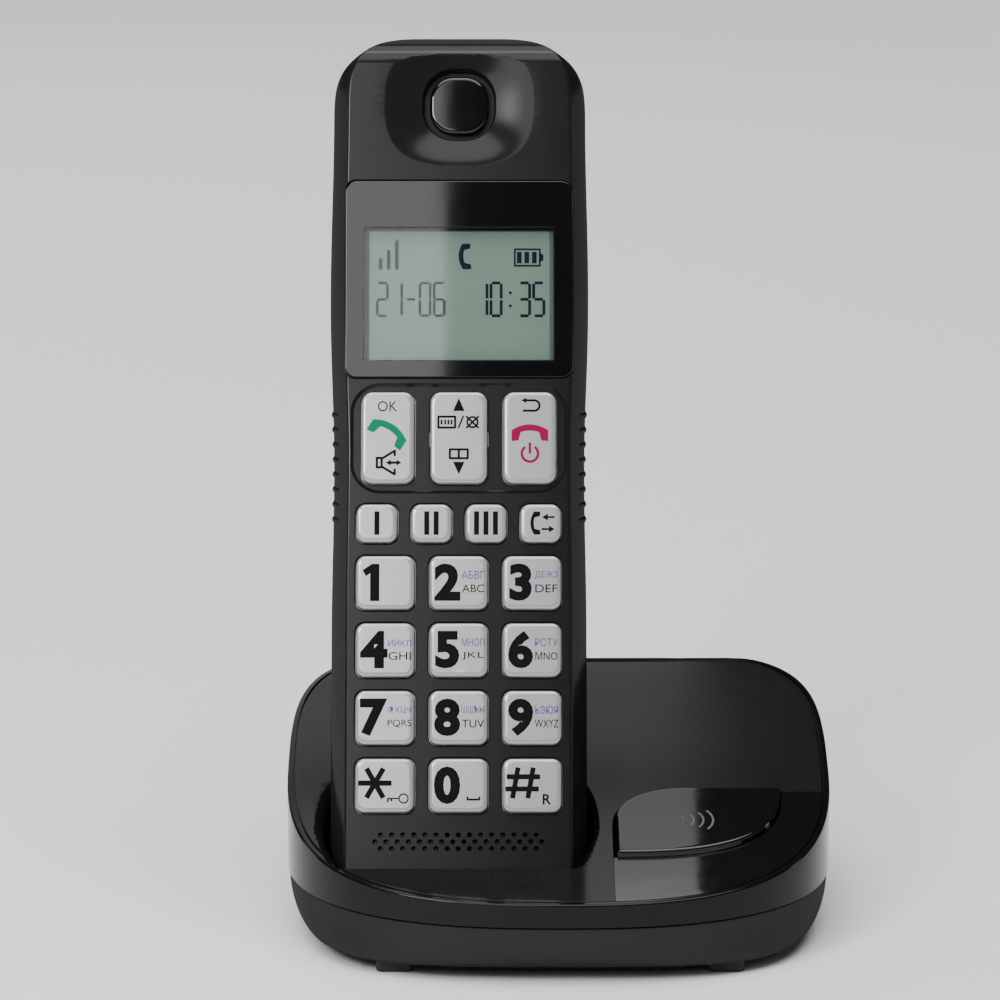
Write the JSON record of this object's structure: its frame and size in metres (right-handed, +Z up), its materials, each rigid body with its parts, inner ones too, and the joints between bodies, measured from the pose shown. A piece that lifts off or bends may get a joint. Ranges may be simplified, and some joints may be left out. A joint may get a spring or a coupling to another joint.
{
  "type": "cordless phone with base",
  "caption": "Cordless telephone: a handset with big keys, a display and a battery bay stands in a low charging base with a handset locator button.",
  "frame": {"origin": "on the table, under the middle of the base", "axes": "+X is the user's right, +Y points away from the user, +Z is up; the keypad faces -Y"},
  "size_m": [0.105, 0.09, 0.1669],
  "materials": {
    "satin_black": "moulded black plastic, satin",
    "gloss_black": "moulded black plastic, high polish",
    "lens": "clear acrylic with a printed black border",
    "lcd": "grey-green liquid crystal display",
    "white_plastic": "white light guide",
    "dark_plastic": "dark moulded plastic",
    "dark_rubber": "black rubber",
    "grey_rubber": "grey silicone",
    "key_grey": "silver-grey painted plastic, satin",
    "speaker_metal": "drawn metal cup",
    "circuit_board": "green solder mask",
    "tin_plate": "tinned steel sheet",
    "cell": null,
    "spring_steel": "nickel-plated spring steel",
    "contact_metal": "nickel-plated contact strip",
    "screw_steel": "zinc-plated steel"
  },
  "bodies": {
    "base": {"base_upper_shell": "satin_black", "base_lower_shell": "satin_black", "glossy_panel": "gloss_black", "locator_switch": "tin_plate", "base_pcb": "circuit_board", "base_shield": "tin_plate", "line_jack": "dark_plastic", "power_jack": "dark_plastic", "base_feet": "dark_rubber", "base_screws": "screw_steel"},
    "handset": {"handset_front_shell": "satin_black", "handset_rear_shell": "satin_black", "display_lens": "lens", "lcd_glass": "lcd", "lcd_backlight": "white_plastic", "lcd_frame": "dark_plastic", "earpiece_cap": "gloss_black", "receiver_gasket": "dark_rubber", "earpiece_speaker": "speaker_metal", "keypad_membrane": "grey_rubber", "handset_pcb": "circuit_board", "handset_shield": "tin_plate", "mic_boot": "dark_rubber", "microphone": "speaker_metal", "loudspeaker": "dark_plastic", "battery_1": "cell", "battery_2": "cell", "battery_springs": "spring_steel", "battery_plates": "spring_steel", "handset_charge_contacts": "contact_metal", "handset_screws": "screw_steel"},
    "battery_cover": {"battery_cover": "satin_black"},
    "key_navigator": {"key_navigator": "key_grey"},
    "locator_button": {"locator_button": "gloss_black"},
    "charge_contact_left": {"charge_contact_left": "contact_metal"},
    "charge_contact_right": {"charge_contact_right": "contact_metal"},
    "key_talk": {"key_talk": "key_grey"},
    "key_off": {"key_off": "key_grey"},
    "key_memory_1": {"key_memory_1": "key_grey"},
    "key_memory_2": {"key_memory_2": "key_grey"},
    "key_memory_3": {"key_memory_3": "key_grey"},
    "key_redial": {"key_redial": "key_grey"},
    "key_1": {"key_1": "key_grey"},
    "key_2": {"key_2": "key_grey"},
    "key_3": {"key_3": "key_grey"},
    "key_4": {"key_4": "key_grey"},
    "key_5": {"key_5": "key_grey"},
    "key_6": {"key_6": "key_grey"},
    "key_7": {"key_7": "key_grey"},
    "key_8": {"key_8": "key_grey"},
    "key_9": {"key_9": "key_grey"},
    "key_star": {"key_star": "key_grey"},
    "key_0": {"key_0": "key_grey"},
    "key_hash": {"key_hash": "key_grey"}
  },
  "joints": [
    {"name": "handset_lift", "type": "slide", "parent": "base", "child": "handset", "axis": [0, 0.3584, 0.9336], "range_m": [0, 0.06]},
    {"name": "battery_cover_off", "type": "slide", "parent": "handset", "child": "battery_cover", "axis": [0, 0.9336, -0.3584], "range_m": [0, 0.012]},
    {"name": "navigator_tilt", "type": "hinge", "parent": "handset", "child": "key_navigator", "pos_m": [-0.01915, 0.00193, 0.09385], "axis": [1, 0, 0], "range_deg": [-2.5, 2.5], "stiffness_Nm_per_rad": 0.05},
    {"name": "locator_press", "type": "slide", "parent": "base", "child": "locator_button", "axis": [0, 0, -1], "range_m": [0, 0.0008], "stiffness_N_per_m": 300, "springref_m": -0.0005},
    {"name": "press_talk", "type": "slide", "parent": "handset", "child": "key_talk", "axis": [0, 0.9336, -0.3584], "range_m": [0, 0.0008], "stiffness_N_per_m": 400, "springref_m": -0.0005},
    {"name": "press_off", "type": "slide", "parent": "handset", "child": "key_off", "axis": [0, 0.9336, -0.3584], "range_m": [0, 0.0008], "stiffness_N_per_m": 400, "springref_m": -0.0005},
    {"name": "press_memory_1", "type": "slide", "parent": "handset", "child": "key_memory_1", "axis": [0, 0.9336, -0.3584], "range_m": [0, 0.0008], "stiffness_N_per_m": 400, "springref_m": -0.0005},
    {"name": "press_memory_2", "type": "slide", "parent": "handset", "child": "key_memory_2", "axis": [0, 0.9336, -0.3584], "range_m": [0, 0.0008], "stiffness_N_per_m": 400, "springref_m": -0.0005},
    {"name": "press_memory_3", "type": "slide", "parent": "handset", "child": "key_memory_3", "axis": [0, 0.9336, -0.3584], "range_m": [0, 0.0008], "stiffness_N_per_m": 400, "springref_m": -0.0005},
    {"name": "press_redial", "type": "slide", "parent": "handset", "child": "key_redial", "axis": [0, 0.9336, -0.3584], "range_m": [0, 0.0008], "stiffness_N_per_m": 400, "springref_m": -0.0005},
    {"name": "press_1", "type": "slide", "parent": "handset", "child": "key_1", "axis": [0, 0.9336, -0.3584], "range_m": [0, 0.0008], "stiffness_N_per_m": 400, "springref_m": -0.0005},
    {"name": "press_2", "type": "slide", "parent": "handset", "child": "key_2", "axis": [0, 0.9336, -0.3584], "range_m": [0, 0.0008], "stiffness_N_per_m": 400, "springref_m": -0.0005},
    {"name": "press_3", "type": "slide", "parent": "handset", "child": "key_3", "axis": [0, 0.9336, -0.3584], "range_m": [0, 0.0008], "stiffness_N_per_m": 400, "springref_m": -0.0005},
    {"name": "press_4", "type": "slide", "parent": "handset", "child": "key_4", "axis": [0, 0.9336, -0.3584], "range_m": [0, 0.0008], "stiffness_N_per_m": 400, "springref_m": -0.0005},
    {"name": "press_5", "type": "slide", "parent": "handset", "child": "key_5", "axis": [0, 0.9336, -0.3584], "range_m": [0, 0.0008], "stiffness_N_per_m": 400, "springref_m": -0.0005},
    {"name": "press_6", "type": "slide", "parent": "handset", "child": "key_6", "axis": [0, 0.9336, -0.3584], "range_m": [0, 0.0008], "stiffness_N_per_m": 400, "springref_m": -0.0005},
    {"name": "press_7", "type": "slide", "parent": "handset", "child": "key_7", "axis": [0, 0.9336, -0.3584], "range_m": [0, 0.0008], "stiffness_N_per_m": 400, "springref_m": -0.0005},
    {"name": "press_8", "type": "slide", "parent": "handset", "child": "key_8", "axis": [0, 0.9336, -0.3584], "range_m": [0, 0.0008], "stiffness_N_per_m": 400, "springref_m": -0.0005},
    {"name": "press_9", "type": "slide", "parent": "handset", "child": "key_9", "axis": [0, 0.9336, -0.3584], "range_m": [0, 0.0008], "stiffness_N_per_m": 400, "springref_m": -0.0005},
    {"name": "press_star", "type": "slide", "parent": "handset", "child": "key_star", "axis": [0, 0.9336, -0.3584], "range_m": [0, 0.0008], "stiffness_N_per_m": 400, "springref_m": -0.0005},
    {"name": "press_0", "type": "slide", "parent": "handset", "child": "key_0", "axis": [0, 0.9336, -0.3584], "range_m": [0, 0.0008], "stiffness_N_per_m": 400, "springref_m": -0.0005},
    {"name": "press_hash", "type": "slide", "parent": "handset", "child": "key_hash", "axis": [0, 0.9336, -0.3584], "range_m": [0, 0.0008], "stiffness_N_per_m": 400, "springref_m": -0.0005},
    {"name": "contact_left_press", "type": "slide", "parent": "base", "child": "charge_contact_left", "axis": [0, -0.3584, -0.9336], "range_m": [0, 0.0007], "stiffness_N_per_m": 250, "springref_m": -0.0004},
    {"name": "contact_right_press", "type": "slide", "parent": "base", "child": "charge_contact_right", "axis": [0, -0.3584, -0.9336], "range_m": [0, 0.0007], "stiffness_N_per_m": 250, "springref_m": -0.0004}
  ]
}
